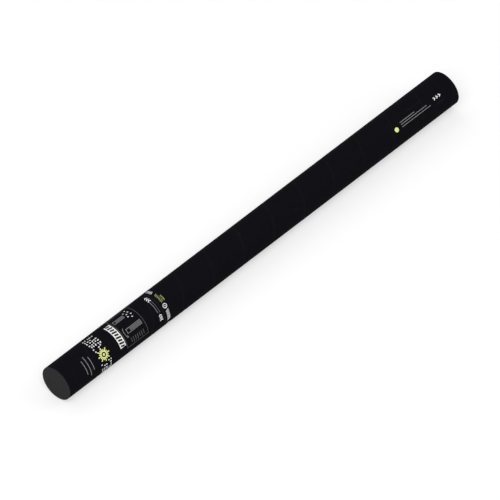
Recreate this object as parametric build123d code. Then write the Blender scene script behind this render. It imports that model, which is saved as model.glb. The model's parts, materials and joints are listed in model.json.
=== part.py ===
from build123d import *
import math
import os

# A twist-to-fire confetti popper: a long board tube holds bundles of foil slips in front of a wad.
# Twisting the handle drives a gas bottle onto a hollow lance, and the gas throws the load out.
# Every piece is drawn along +Z from the base face at height 0, and then laid down along +X.
# Lengths are in millimetres and angles in degrees.

# Whole popper
overall_length = 800.0
outer_diameter = 54.0
handle_length = 193.4
seam_gap = 0.6

# Tubes and fits
wrap_thickness = 0.25
wrap_setback = 0.3
board_wall = 1.7
glue_line = 0.03
running_gap = 0.25
face_gap = 0.3
cut_overrun = 2.0

# Base cap
cap_flange = 1.2
cap_edge_round = 0.3
cap_skirt = 14.0
cap_wall = 2.0
cap_rib = 1.6
cap_rib_height = 7.0
cap_lead_in = 1.0

# Twist cam and the sleeve that guides the bottle
twist_angle = 90.0
bottle_travel = 8.0
cam_wall = 2.0
cam_land = 24.0
guide_wall = 2.0
guide_tail = 14.0
pin_diameter = 4.0
pin_clearance = 0.2
pin_inset = 0.6
ring_thickness = 1.5
ring_groove_depth = 0.8
ring_split_angle = 40.0
washer_thickness = 1.5

# Breech block
spigot_length = 45.0
socket_depth = 6.0
web_thickness = 10.0
breech_wall = 2.4
chamber_length = 57.4

# Lance
lance_diameter = 8.0
lance_bore = 3.2
lance_head_diameter = 16.0
lance_head_thickness = 4.0
needle_diameter = 6.4
needle_reach = 4.5
needle_cone = 3.0
needle_edge = 0.3
nut_across_flats = 13.0
nut_thickness = 5.0
gasket_diameter = 17.0
gasket_thickness = 4.0

# Gas bottle and the cup that carries it
base_room = 5.0
cup_wall = 2.2
cup_floor_thickness = 3.0
cup_above_pin = 20.0
pad_thickness = 3.0
pad_inset = 1.0
bottle_fit = 0.1
bottle_wall = 1.5
bottle_base_round = 4.0
bottle_shoulder = 14.0
bottle_shoulder_round = 6.0
neck_diameter = 14.0
neck_bore = 9.0
neck_length = 10.0
foil_thickness = 0.3
foil_skirt = 3.0

# Safety spring
spring_wire = 1.6
spring_turns = 9
spring_end_pitch = 2.2

# Load
muzzle_recess = 3.0
disc_thickness = 3.0
disc_fit = 0.1
bundle_count = 9
slip_width = 17.0
stack_gap = 0.4
load_gap = 0.3
band_width = 18.0
band_thickness = 0.2
felt_thickness = 15.0
felt_edge_round = 1.0
check_length = 13.0
check_disc = 2.5
check_wall = 1.6

# Radii, worked out from the outside in
outer_radius = outer_diameter / 2
board_radius = outer_radius - wrap_thickness - glue_line
bore_radius = board_radius - board_wall
cam_outer = bore_radius - glue_line
cam_inner = cam_outer - cam_wall
guide_outer = cam_inner - running_gap
guide_inner = guide_outer - guide_wall
cup_outer = guide_inner - running_gap
cup_inner = cup_outer - cup_wall
bottle_radius = cup_inner - bottle_fit
spigot_radius = bore_radius - running_gap
load_radius = bore_radius - running_gap
pin_radius = pin_diameter / 2
slot_radius = pin_radius + pin_clearance
needle_radius = needle_diameter / 2
lance_radius = lance_diameter / 2
neck_radius = neck_diameter / 2

# Heights of the firing mechanism, worked out from the twist seam down
barrel_start = handle_length + seam_gap
web_start = barrel_start + socket_depth
web_end = web_start + web_thickness
nut_start = web_start - nut_thickness
gasket_start = nut_start - gasket_thickness
needle_tip = gasket_start - needle_reach
neck_top = gasket_start - face_gap - bottle_travel - foil_thickness
neck_start = neck_top - neck_length
shoulder_start = neck_start - bottle_shoulder
spigot_start = barrel_start - spigot_length
washer_end = spigot_start - face_gap
washer_start = washer_end - washer_thickness
cam_end = washer_start - face_gap
cam_start = cam_end - bottle_travel - 2 * slot_radius - 2 * cam_land
ring_end = cam_start - face_gap
ring_start = ring_end - ring_thickness
guide_start = ring_start - guide_tail
pin_height = cam_start + cam_land + slot_radius
cup_end = pin_height + cup_above_pin

# Heights of the cup and bottle, worked out from the base up
cap_end = cap_flange + cap_skirt
cup_start = cap_end + base_room
cup_floor = cup_start + cup_floor_thickness
bottle_start = cup_floor + pad_thickness

# Heights of the load: the bundles share the room between the wad and the muzzle disc
disc_end = overall_length - muzzle_recess
disc_start = disc_end - disc_thickness
bundles_end = disc_start - load_gap
breech_end = web_end + chamber_length
check_start = breech_end + face_gap
check_end = check_start + check_length
felt_start = check_end + load_gap
felt_end = felt_start + felt_thickness
bundles_start = felt_end + load_gap
bundle_pitch = (bundles_end + load_gap - bundles_start) / bundle_count
slip_length = bundle_pitch - load_gap

# Cross-section of a banded bundle: its corners lie on the load's radius
bundle_half_width = slip_width + stack_gap / 2
band_margin = glue_line + band_thickness
band_half_width = bundle_half_width + band_margin
band_half_height = math.sqrt(load_radius**2 - band_half_width**2)
bundle_half_height = band_half_height - band_margin

# The drawn height axis lies along +X, the middle of the length over the origin, the side on the floor.
LAID_DOWN = Pos(-overall_length / 2, 0, outer_radius) * Rot(0, 90, 0)


def turned(*corners):
    """A solid turned about the popper's axis from its (radius, height) corners."""
    outline = make_face(Polyline(*corners, close=True))
    return revolve(Plane.XZ * outline, Axis.Z)


def tube(inner, outer, start, end):
    """A plain tube between two radii and two heights."""
    return turned((inner, start), (outer, start), (outer, end), (inner, end))


def disc(radius, start, end):
    """A plain disc on the axis between two heights."""
    return turned((0, start), (radius, start), (radius, end), (0, end))


def radial_pin(radius, inner, outer, height):
    """A round pin that stands out along +X from one distance to another."""
    pin = Cylinder(radius, outer - inner, align=(Align.CENTER, Align.CENTER, Align.MIN))
    return Pos(inner, 0, height) * Rot(0, 90, 0) * pin


def both_sides(piece):
    """A piece and its copy half a turn round the axis."""
    return [piece, Rot(0, 0, 180) * piece]


def block(half_x, half_y, start, end):
    """A box centred on the axis between two heights."""
    box = Box(2 * half_x, 2 * half_y, end - start, align=(Align.CENTER, Align.CENTER, Align.MIN))
    return Pos(0, 0, start) * box


def edges_at(piece, radius, height):
    """The round edges of a piece at one radius and one height."""
    rings = piece.edges().filter_by(GeomType.CIRCLE)
    at_height = [ring for ring in rings if abs(ring.center().Z - height) < glue_line]
    return [ring for ring in at_height if abs(ring.radius - radius) < glue_line]


def base_cap():
    """The moulded plug in the handle's end: a thin flange inside the wrap, a skirt and crossed ribs."""
    flange_radius = board_radius
    skirt_radius = bore_radius - glue_line
    shell = turned(
        (0, 0),
        (flange_radius, 0),
        (flange_radius, cap_flange),
        (skirt_radius, cap_flange),
        (skirt_radius, cap_end - cap_lead_in),
        (skirt_radius - cap_lead_in, cap_end),
        (skirt_radius - cap_wall, cap_end),
        (skirt_radius - cap_wall, cap_flange),
        (0, cap_flange),
    )
    rib_reach = skirt_radius - cap_wall / 2
    rib_end = cap_flange + cap_rib_height
    rib = block(rib_reach, cap_rib / 2, cap_flange, rib_end)
    rounded = fillet(edges_at(shell, flange_radius, 0), cap_edge_round)
    return rounded + rib + Rot(0, 0, 90) * rib


def cam_slot():
    """The helical slot that the pin follows as the handle turns, with room for the pin at both ends."""
    middle = (cam_inner + cam_outer) / 2
    run = math.hypot(middle * math.radians(twist_angle), bottle_travel)
    end_share = slot_radius / run
    lead = bottle_travel * 360 / twist_angle
    rise = bottle_travel * (1 + 2 * end_share)
    path = Helix(pitch=lead, height=rise, radius=middle)
    start = Plane(origin=path @ 0, x_dir=(1, 0, 0), z_dir=path % 0)
    section = start * Rectangle(cam_wall + cut_overrun, 2 * slot_radius)
    slot = sweep(section, path=path, is_frenet=True)
    return Pos(0, 0, pin_height - bottle_travel * end_share) * Rot(0, 0, -twist_angle * end_share) * slot


def cam_sleeve():
    """The sleeve glued in the handle, with a helical slot on each side."""
    return tube(cam_inner, cam_outer, cam_start, cam_end) - both_sides(cam_slot())


def guide_sleeve():
    """The sleeve fixed in the breech block, with a straight slot on each side for the pins."""
    reach = guide_outer + cut_overrun
    low = radial_pin(slot_radius, guide_inner - cut_overrun, reach, pin_height)
    high = Pos(0, 0, bottle_travel) * low
    width = reach - guide_inner + cut_overrun
    middle = Box(width, 2 * slot_radius, bottle_travel, align=(Align.MAX, Align.CENTER, Align.MIN))
    slot = low + high + Pos(reach, 0, pin_height) * middle
    groove = tube(guide_outer - ring_groove_depth, reach, ring_start, ring_end)
    return tube(guide_inner, guide_outer, guide_start, web_start) - both_sides(slot) - groove


def retaining_ring():
    """The split ring that keeps the handle on the guide sleeve."""
    inner = guide_outer - ring_groove_depth + glue_line
    ring = tube(inner, spigot_radius, ring_start + glue_line, ring_end - glue_line)
    split_half = spigot_radius * math.sin(math.radians(ring_split_angle / 2))
    split = Box(outer_diameter, 2 * split_half, ring_thickness, align=(Align.MIN, Align.CENTER, Align.MIN))
    return ring - Rot(0, 0, 90) * Pos(0, 0, ring_start) * split


def breech_block():
    """The block glued in the barrel: a spigot that the handle turns on, a web and a gas chamber."""
    plug_radius = bore_radius - glue_line
    socket_radius = guide_outer + glue_line
    hole_radius = lance_radius + glue_line
    chamber_radius = plug_radius - breech_wall
    return turned(
        (socket_radius, spigot_start),
        (spigot_radius, spigot_start),
        (spigot_radius, barrel_start),
        (plug_radius, barrel_start),
        (plug_radius, breech_end),
        (chamber_radius, breech_end),
        (chamber_radius, web_end),
        (hole_radius, web_end),
        (hole_radius, web_start),
        (socket_radius, web_start),
    )


def piercing_lance():
    """The hollow steel lance: a head above the web, a shank through it and a needle below."""
    bore = lance_bore / 2
    head_end = web_end + lance_head_thickness
    head_radius = lance_head_diameter / 2
    return turned(
        (bore, needle_tip),
        (bore + needle_edge, needle_tip),
        (needle_radius, needle_tip + needle_cone),
        (needle_radius, nut_start),
        (lance_radius, nut_start),
        (lance_radius, web_end),
        (head_radius, web_end),
        (head_radius, head_end),
        (bore, head_end),
    )


def lance_nut():
    """The hexagon nut that clamps the lance to the web."""
    hexagon = RegularPolygon(nut_across_flats / 2, 6, major_radius=False)
    hole = disc(lance_radius + glue_line, nut_start - cut_overrun, web_start + cut_overrun)
    return Pos(0, 0, nut_start) * extrude(hexagon, nut_thickness) - hole


def biarc(start, start_direction, end, end_direction):
    """Two arcs that join two points smoothly and meet halfway."""
    span = end - start
    along = span.dot(start_direction + end_direction)
    fold = 2 - 2 * start_direction.dot(end_direction)
    reach = (math.sqrt(along**2 + fold * span.dot(span)) - along) / fold
    leaving = start + start_direction * reach
    arriving = end - end_direction * reach
    middle = (leaving + arriving) / 2
    return [
        TangentArc(start, middle, tangent=start_direction),
        TangentArc(middle, end, tangent=arriving - leaving),
    ]


def spring_path():
    """The spring's centreline from the cup's rim to the web, with a closer turn at each end."""
    low = cup_end + spring_wire / 2 + glue_line
    high = web_start - spring_wire / 2 - glue_line
    radius = (bottle_radius + guide_inner) / 2
    open_pitch = (high - low - 2 * spring_end_pitch) / (spring_turns - 2)
    pitches = [spring_end_pitch] + [open_pitch] * (spring_turns - 2) + [spring_end_pitch]
    rises = [pitch / 4 for pitch in pitches for quarter in range(4)]
    points = []
    directions = []
    for quarter in range(len(rises) + 1):
        turn = math.radians(90 * quarter)
        around = Vector(math.cos(turn), math.sin(turn), 0)
        ahead = Vector(-math.sin(turn), math.cos(turn), 0)
        nearby = rises[max(quarter - 1, 0):quarter + 1]
        climb = sum(nearby) / len(nearby)
        points.append(around * radius + Vector(0, 0, low + sum(rises[:quarter])))
        directions.append((ahead * radius * math.pi / 2 + Vector(0, 0, climb)).normalized())
    arcs = []
    for quarter in range(len(rises)):
        arcs += biarc(points[quarter], directions[quarter], points[quarter + 1], directions[quarter + 1])
    return Wire(arcs)


def safety_spring():
    """The coil spring that holds the bottle off the lance until the handle is turned."""
    path = spring_path()
    section = Plane(origin=path @ 0, z_dir=path % 0) * Circle(spring_wire / 2)
    return sweep(section, path=path)


def bottle_cup():
    """The cup that carries the bottle, with a hole on each side for a pin."""
    cup = turned(
        (0, cup_start),
        (cup_outer, cup_start),
        (cup_outer, cup_end),
        (cup_inner, cup_end),
        (cup_inner, cup_floor),
        (0, cup_floor),
    )
    hole = radial_pin(pin_radius + glue_line, cup_inner - cut_overrun, cup_outer + cut_overrun, pin_height)
    return cup - both_sides(hole)


def gas_bottle():
    """The pressed metal bottle: a round-edged base, a body, a shoulder and a short neck."""
    inner_radius = bottle_radius - bottle_wall
    inner_start = bottle_start + bottle_wall
    bore = neck_bore / 2
    bottle = turned(
        (0, bottle_start),
        (bottle_radius, bottle_start),
        (bottle_radius, shoulder_start),
        (neck_radius, neck_start),
        (neck_radius, neck_top),
        (bore, neck_top),
        (bore, neck_start),
        (inner_radius, shoulder_start),
        (inner_radius, inner_start),
        (0, inner_start),
    )
    bottle = fillet(edges_at(bottle, bottle_radius, bottle_start), bottle_base_round)
    bottle = fillet(edges_at(bottle, inner_radius, inner_start), bottle_base_round - bottle_wall)
    bottle = fillet(edges_at(bottle, bottle_radius, shoulder_start), bottle_shoulder_round)
    return fillet(edges_at(bottle, inner_radius, shoulder_start), bottle_shoulder_round - bottle_wall)


def bottle_seal():
    """The foil cap crimped over the bottle's mouth."""
    inner = neck_radius + glue_line
    outer = inner + foil_thickness
    skirt_start = neck_top - foil_skirt
    return turned(
        (0, neck_top),
        (inner, neck_top),
        (inner, skirt_start),
        (outer, skirt_start),
        (outer, neck_top + foil_thickness),
        (0, neck_top + foil_thickness),
    )


def cam_pins():
    """The two steel pins that join the cup to the cam through the guide sleeve."""
    pin = radial_pin(pin_radius, cup_inner + pin_inset, cam_outer - pin_inset, pin_height)
    return Compound(both_sides(pin))


def gas_check():
    """The cupped wad that the gas pushes on, its skirt towards the breech."""
    disc_face = check_end - check_disc
    return turned(
        (0, disc_face),
        (load_radius - check_wall, disc_face),
        (load_radius - check_wall, check_start),
        (load_radius, check_start),
        (load_radius, check_end),
        (0, check_end),
    )


def felt_wad():
    """The soft wad between the gas check and the slips."""
    wad = disc(load_radius, felt_start, felt_end)
    rims = edges_at(wad, load_radius, felt_start) + edges_at(wad, load_radius, felt_end)
    return fillet(rims, felt_edge_round)


def bundle_start(index):
    """The height where a bundle of slips begins, counted from the wad."""
    return bundles_start + index * bundle_pitch


def confetti_bundle(index):
    """Two stacks of foil slips, side by side."""
    stack = block(bundle_half_height, slip_width / 2, bundle_start(index), bundle_start(index) + slip_length)
    aside = (slip_width + stack_gap) / 2
    return Compound([Pos(0, aside, 0) * stack, Pos(0, -aside, 0) * stack])


def paper_band(index):
    """The paper band round the middle of one bundle."""
    start = bundle_start(index) + (slip_length - band_width) / 2
    end = start + band_width
    outside = block(band_half_height, band_half_width, start, end)
    inside_height = bundle_half_height + glue_line
    inside_width = bundle_half_width + glue_line
    return outside - block(inside_height, inside_width, start - cut_overrun, end + cut_overrun)


def all_pieces():
    """Every piece of the popper by name, along the drawn axis."""
    pieces = {
        "handle_tube": tube(bore_radius, board_radius, cap_flange, handle_length),
        "handle_wrap": tube(board_radius + glue_line, outer_radius, wrap_setback, handle_length),
        "base_cap": base_cap(),
        "cam_sleeve": cam_sleeve(),
        "barrel_tube": tube(bore_radius, board_radius, barrel_start, overall_length),
        "barrel_wrap": tube(board_radius + glue_line, outer_radius, barrel_start, overall_length),
        "breech_block": breech_block(),
        "guide_sleeve": guide_sleeve(),
        "retaining_ring": retaining_ring(),
        "thrust_washer": tube(cam_inner, spigot_radius, washer_start, washer_end),
        "piercing_lance": piercing_lance(),
        "lance_nut": lance_nut(),
        "mouth_gasket": tube(needle_radius + glue_line, gasket_diameter / 2, gasket_start, nut_start),
        "safety_spring": safety_spring(),
        "bottle_cup": bottle_cup(),
        "bottle_pad": disc(bottle_radius - pad_inset, cup_floor, bottle_start),
        "gas_bottle": gas_bottle(),
        "bottle_seal": bottle_seal(),
        "cam_pins": cam_pins(),
        "gas_check": gas_check(),
        "felt_wad": felt_wad(),
        "paper_bands": Compound([paper_band(index) for index in range(bundle_count)]),
        "muzzle_disc": disc(bore_radius - disc_fit, disc_start, disc_end),
    }
    for index in range(bundle_count):
        pieces[f"confetti_bundle_{index + 1}"] = confetti_bundle(index)
    return pieces


def coil_clearance():
    """The least gap between neighbouring turns of the safety spring, measured on points of its path."""
    path = spring_path()
    steps_per_turn = 36
    count = spring_turns * steps_per_turn
    points = [path @ (step / count) for step in range(count + 1)]
    apart = steps_per_turn // 2
    nearest = min(
        (points[here] - points[there]).length
        for here in range(len(points))
        for there in range(here + apart, len(points))
    )
    return nearest - spring_wire


def main():
    os.makedirs("parts", exist_ok=True)
    for name, piece in all_pieces().items():
        export_step(LAID_DOWN * piece, f"parts/{name}.step")
    print("bundles", bundle_count, "breech end", round(breech_end, 2), "neck top", round(neck_top, 2))
    print("least gap between spring turns", round(coil_clearance(), 2))


main()
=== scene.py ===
import json
import math
import random

import bmesh
import bpy
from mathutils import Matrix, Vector


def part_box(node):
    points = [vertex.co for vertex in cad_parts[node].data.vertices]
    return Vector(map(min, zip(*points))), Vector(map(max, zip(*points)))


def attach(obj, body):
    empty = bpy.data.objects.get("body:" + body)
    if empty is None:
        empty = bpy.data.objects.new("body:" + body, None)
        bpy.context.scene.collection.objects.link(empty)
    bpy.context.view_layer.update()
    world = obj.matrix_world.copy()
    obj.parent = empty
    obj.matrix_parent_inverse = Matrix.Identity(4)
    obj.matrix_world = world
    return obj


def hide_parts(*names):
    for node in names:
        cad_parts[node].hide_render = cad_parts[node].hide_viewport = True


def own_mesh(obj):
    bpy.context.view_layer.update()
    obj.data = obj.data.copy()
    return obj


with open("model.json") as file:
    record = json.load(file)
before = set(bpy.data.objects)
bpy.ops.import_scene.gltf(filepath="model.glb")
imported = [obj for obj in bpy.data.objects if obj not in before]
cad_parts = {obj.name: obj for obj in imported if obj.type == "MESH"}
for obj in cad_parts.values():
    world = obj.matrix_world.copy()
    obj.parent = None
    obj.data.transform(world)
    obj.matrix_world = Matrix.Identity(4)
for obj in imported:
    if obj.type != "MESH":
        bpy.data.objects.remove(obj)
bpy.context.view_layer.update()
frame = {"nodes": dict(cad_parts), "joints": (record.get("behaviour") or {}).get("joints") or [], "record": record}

MM = 0.001
TURN = 2 * math.pi

# The tube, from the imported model: it lies along +X, and angles round it start at the top and go towards -Y
tube_mount = next(mount for mount in frame["record"]["mounts"] if mount["name"] == "barrel_outside")
disc_low, disc_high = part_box("muzzle_disc")
DISC_PLAY = 0.1 * MM
TUBE_RADIUS = tube_mount["dims"]["r_mm"] * MM
BORE_RADIUS = (disc_high.z - disc_low.z) / 2 + DISC_PLAY
AXIS_HEIGHT = tube_mount["pos_m"][2]
BASE_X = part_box("base_cap")[0].x
BOARD_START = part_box("handle_tube")[0].x
HANDLE_START, HANDLE_END = (corner.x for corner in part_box("handle_wrap"))
BARREL_START, MUZZLE_X = (corner.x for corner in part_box("barrel_wrap"))
SEAM_X = (HANDLE_END + BARREL_START) / 2
BUNDLES = sorted(name for name in frame["nodes"] if name.startswith("confetti_bundle_"))

# Meshes
TUBE_SEGMENTS = 192
ROUND_STEPS = 5
SHARP_ANGLE = math.radians(35)
MERGE_DISTANCE = 0.0005 * MM

# Wraps and board tubes
WRAP_THICKNESS = 0.25 * MM
WRAP_BEVEL = 0.08 * MM
LAP_PLACE = math.radians(232)
LAP_WIDTH = 9.0 * MM
LAP_RISE = 0.12 * MM
LAP_RAMP = 1.2 * MM
GLUE_LINE = 0.03 * MM
BOARD_RADIUS = TUBE_RADIUS - WRAP_THICKNESS - GLUE_LINE
BOARD_BEVEL = 0.12 * MM

# Finishes: plastics and metals have a colour and a roughness, and inks a colour. Then come the pitches,
# widths and reliefs of what shows on the surfaces.
PLASTICS = {
    "breech_plastic": ((0.04, 0.04, 0.044), 0.34),
    "sleeve_plastic": ((0.64, 0.64, 0.61), 0.36),
    "cup_plastic": ((0.42, 0.025, 0.022), 0.34),
    "check_plastic": ((0.70, 0.71, 0.68), 0.40),
}
METALS = {
    "bright_steel": ((0.60, 0.60, 0.61), 0.22),
    "bottle_aluminium": ((0.78, 0.785, 0.80), 0.26),
    "seal_foil": ((0.80, 0.60, 0.27), 0.18),
}
INK_COLOURS = {
    "white": (0.75, 0.75, 0.74),
    "lime": (0.69, 0.74, 0.28),
    "grey": (0.20, 0.20, 0.205),
    "dim": (0.085, 0.087, 0.088),
    "black": (0.008, 0.008, 0.009),
}
PAPER_SPIRAL = 62.0 * MM
PAPER_WORN_EDGE = 0.9 * MM
PAPER_LAP_LINE = 0.11 * MM
PAPER_RELIEF = 0.04 * MM
BOARD_SPIRAL = 68.0 * MM
BOARD_PLY = 0.42 * MM
BOARD_INKED_EDGE = (0.8 * MM, 1.6 * MM)
BOARD_RELIEF = 0.06 * MM
CAP_RING_PITCH = 0.9 * MM
CAP_GATE = (0.9 * MM, 1.3 * MM)
# Place and width of a ring of painted shade round the gate's pit
CAP_GATE_SHADE_RING = 1.6 * MM
CAP_GATE_SHADE_WIDTH = 0.4 * MM
CAP_WORN_RIM = (BOARD_RADIUS - 1.0 * MM, BOARD_RADIUS - 0.1 * MM)
CAP_RELIEF = 0.12 * MM
INK_RELIEF = 0.01 * MM
FILM_RELIEF = 0.35 * MM
BAND_RELIEF = 0.03 * MM
FELT_RELIEF = 0.35 * MM
DISC_WORN_EDGE = (BORE_RADIUS - 1.4 * MM, BORE_RADIUS - 0.2 * MM)
DISC_RELIEF = 0.06 * MM
MOULD_LINE_PITCH = 1.2083 * MM
MOULD_RELIEF = 0.02 * MM
METAL_RELIEF = 0.02 * MM
RUBBER_RELIEF = 0.03 * MM

# Print: marks are drawn flat, in millimetres from the base and round the tube from the middle of the
# printed face. Angles round the tube are in degrees from there too.
PRINT_FACE = math.radians(33.45)
PRINT_STEP = 1.2
PRINT_RING_STEPS = 28
PRINT_MERGE = 0.002 * MM
MITRE_LEAST = 0.35
DOT_LINE_SHARE = 0.98
INK_SINK = 0.03 * MM
INK_RISE = 0.03 * MM
TOP_INK_RISE = 0.05 * MM
SEAM = (SEAM_X - BASE_X) / MM
MUZZLE = (MUZZLE_X - BASE_X) / MM
THIN_LINE = 0.8

# Rules near the base: place, first and last angle
BASE_RULES = ((38.0, -8, 39), (44.3, -16, 50), (51.0, -7, 38))
BASE_RULE_LINE = 1.0

# Burst in a field of scattered rectangles
BURST_PLACE = 75.0
BURST_ANGLE = 17
BURST_RAYS = 16
BURST_INNER = 3.8
BURST_OUTER = 10.5
BURST_SHORT_SHARE = 0.62
BURST_LINE = 1.6
BURST_HUB = 1.8
FIELD_START = 64.2
FIELD_ROWS = 5
FIELD_ANGLES = (-62, 96)
FIELD_CLEAR = 12.5
FIELD_CELL = 4.3
FIELD_SHIFT = 0.7
FIELD_FILL_SHARE = 0.86
FIELD_HALF_LENGTHS = (1.0, 1.6)
FIELD_LINE = 1.65
FIELD_SEED = 7

# White bar with slanting black dashes
BAR_PLACE = 109.7
BAR_WIDTH = 10.8
BAR_ANGLES = (-51, 37)
DASH_COUNT = 9
DASH_REACHES = (3.4, 4.3)
DASH_SLANT = 0.9
DASH_LINE = 2.9

# Panel: a drawn tube that throws squares, a drawn tube with a turning arrow, and rules. A drawn tube is
# given by its two ends with the joint of its halves between them, its angle, and half its width.
PANEL_START = 117.0
PANEL_END = 159.0
PANEL_ANGLES = (-70, 51)
PANEL_LINE = 0.55
PANEL_RULE_LINE = 0.9
PANEL_RULE_START = 127.5
PANEL_RULE_PITCH = 4.0
PANEL_RULE_ANGLE = 27
PANEL_RULE_ENDS = (42, 46, 44, 46, 41, 46, 43)
PICTURE_LINE = 0.75
PICTURE_GAP = 0.6
THROWING_TUBE = ((120.5, 125.5, 140.0), -42, 2.6)
SQUARES = ((4, -4.5), (6, 0.6), (4.5, 5.2), (10, -7.5), (11, -2.2), (12, 3.4), (9.5, 8.6))
SQUARE_REACH = (0.9, 0.5)
SQUARE_LINE = 1.4
TWISTED_TUBE = ((126.5, 133.5, 154.5), 4, 3.2)
ARROW_PLACE = 124.5
ARROW_REACH = 3.4
ARROW_HALF = 7.2
ARROW_SWEEP = (-80, 80)
ARROW_STEPS = 10
ARROW_HEAD = 1.5

# Rows beside the seam: chevrons and rules on the handle, strokes and rings on the barrel
CHEVRON_PLACE = SEAM - 6.7
CHEVRON_GROUPS = 5
CHEVRON_ANGLE = -40
CHEVRON_COUNT = 3
CHEVRON_PITCH = 3.5
CHEVRON_HALF = 2.7
CHEVRON_DEPTH = 2.3
CHEVRON_LINE = 1.25
SEAM_RULE_TURNS = (0, 144)
SEAM_RULES = {"grey": (SEAM - 8.5, -27, 16), "dim": (SEAM - 4.9, -25, 18)}
ROW_TURNS = (0, 150)
ROW_START = SEAM + 4.4
ROW_END = SEAM + 9.9
ROW_SLANT_SHARE = 0.45
ROW_PITCH = 2.1
ROW_ANGLES = ((-74, -46), (24, 61))
ROW_LINE = 0.8
LIME_ROWS = ((SEAM + 5.3, SEAM + 9.7, -36, -3), (SEAM + 10.9, SEAM + 13.7, -24, -4))
LIME_PITCH = 2.3
LIME_LINE = 0.34
RING_PLACE = SEAM + 7.3
RING_ANGLE = 11
RING_RADIUS = 3.2
RING_LINE = 1.05
RING_HAND = (1.1, 0.9)

# Marks near the muzzle: a dot, three rules and chevrons
DOT_PLACE = MUZZLE - 121.7
DOT_ANGLE = 13
DOT_RADIUS = 3.6
LONG_RULE_START = MUZZLE - 111.3
LONG_RULES = ((MUZZLE - 81, 1), (MUZZLE - 58, 8), (MUZZLE - 52, 16))
LONG_RULE_LINE = 0.85
POINTER_PLACE = MUZZLE - 35.0
POINTER_ANGLE = 6
POINTER_COUNT = 3
POINTER_PITCH = 5.2
POINTER_HALF = 2.0
POINTER_DEPTH = 2.6
POINTER_LINE = 1.35

# Slips and their paper bands: a bundle's random draws each have a seed of their own
SLIPS_IN_STACK = 76
SLIP_THICKNESS = 0.3 * MM
SLIP_POINTS = (7, 3, 2)
SLIP_SIDE_PLAY = 0.2 * MM
SLIP_SIDE_PLAY_SHARE = 0.6
SLIP_END_PLAY = 0.45 * MM
SLIP_YAW = math.radians(0.45)
SLIP_BOW = 0.12 * MM
SLIP_SEED = 40
SLIP_DRAWS = 3
STACK_GAP = 0.4 * MM
BAND_THICKNESS = 0.2 * MM
BAND_ROUND = 0.5 * MM
BAND_LAP = 9.0 * MM
BAND_LAP_RISE = 0.16 * MM
BAND_LAP_SINK = 0.05 * MM

# Felt wad: a fibre's places are shares of its length, ahead of its root and out of the felt
FELT_ROUND = 1.6 * MM
FELT_ROUND_STEPS = 6
FELT_FUZZ = 0.25 * MM
FIBRES_PER_SQUARE_METRE = 4.5e5
FIBRE_LENGTH = 1.3 * MM
FIBRE_THICKNESS = 0.05 * MM
FIBRE_SHARES = {"Start": (-0.2, -0.1), "Middle": (0.0, 0.35), "End": (0.8, 0.12)}
FIBRE_STEPS = 3
FIBRE_SIDES = 3
FIBRE_SEED = 11
FIBRE_SPIN_SEED = 5

# Gas check: a cup with a thin lip on its skirt and a moulded groove round its face
CHECK_FLOOR = 2.5 * MM
CHECK_WALL = 1.6 * MM
CHECK_STEP = 0.2 * MM
CHECK_SKIRT = 4.0 * MM
CHECK_LIP = 0.9 * MM
CHECK_LIP_ROUND = 0.15 * MM
CHECK_FACE_ROUND = 0.8 * MM
CHECK_FLOOR_ROUND = 1.2 * MM
GROOVE_INNER = 8.0 * MM
GROOVE_OUTER = 11.0 * MM
GROOVE_SLOPE = 0.6 * MM
GROOVE_DEPTH = 0.5 * MM

# Muzzle disc: a flat rim round a dish
DISC_BACK_ROUND = 0.4 * MM
DISC_RIM = 2.6 * MM
DISC_RIM_ROUND = 0.5 * MM
DISH_SLOPE = 1.6 * MM
DISH_DEPTH = 0.9 * MM
DISH_ROUND = 0.8 * MM
DISH_MIDDLE_DEPTH = 1.1 * MM

# Foil seal
FOIL_THICKNESS = 0.3 * MM
FOIL_ROUND = 0.12 * MM
MOUTH_RADIUS = 4.5 * MM
PETALS = 8
PETAL_STEPS = 5
SCORE_WIDTH = 0.03 * MM

# Camera and studio: a lamp has its place, its size and its power
CAMERA_AZIMUTH = math.radians(-46.56)
CAMERA_ELEVATION = math.radians(46.15)
CAMERA_DISTANCE = 23.0
CAMERA_REACH = 4 * CAMERA_DISTANCE
FRAME_WIDTH = 0.7074
AIM_RIGHT = -3.27 * MM
AIM_UP = -21.9 * MM
SENSOR_WIDTH = 36.0
LAMPS = {
    "key_lamp": ((-1.6, -1.1, 2.6), 2.2, 62.0),
    "fill_lamp": ((1.9, -1.5, 1.9), 2.4, 26.0),
    "back_lamp": ((0.4, 2.2, 2.2), 2.4, 22.0),
}
WORLD_LIGHT = 0.55
FLOOR_HALF = 30.0
FLOOR_PAINT = 0.86
FLOOR_OWN_WHITE = 0.5


# Node trees


class Socket:
    """A socket of a node tree that Python's operators work on: each operator adds one Math node."""

    def __init__(self, graph, link):
        self.graph = graph
        self.link = link

    def maths(self, operation, *others):
        """What a Math node makes of this socket and others."""
        inputs = dict(enumerate((self, *others)))
        return self.graph.node("ShaderNodeMath", inputs, operation=operation)

    def __add__(self, other):
        return self.maths("ADD", other)

    def __sub__(self, other):
        return self.maths("SUBTRACT", other)

    def __rsub__(self, other):
        return self.graph.node("ShaderNodeMath", {0: other, 1: self}, operation="SUBTRACT")

    def __mul__(self, other):
        return self.maths("MULTIPLY", other)

    def __truediv__(self, other):
        return self.maths("DIVIDE", other)

    def __pow__(self, other):
        return self.maths("POWER", other)

    __radd__ = __add__
    __rmul__ = __mul__

    def between(self, low, high):
        """0 below low, 1 above high and a smooth rise from one to the other."""
        inputs = {"Value": self, "From Min": low, "From Max": high}
        return self.graph.node("ShaderNodeMapRange", inputs, interpolation_type="SMOOTHSTEP")

    def away(self, place, near, far):
        """0 up to near from a place, 1 beyond far and a smooth rise from one to the other."""
        return (self - place).maths("ABSOLUTE").between(near, far)

    def line(self, place, width):
        """1 on a line at a place, fading to 0 within a width."""
        return 1 - self.away(place, 0.0, width)

    def waves(self, pitch):
        """Waves between 0 and 1, one to each pitch."""
        return (self * (TURN / pitch)).maths("SINE") * 0.5 + 0.5


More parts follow.
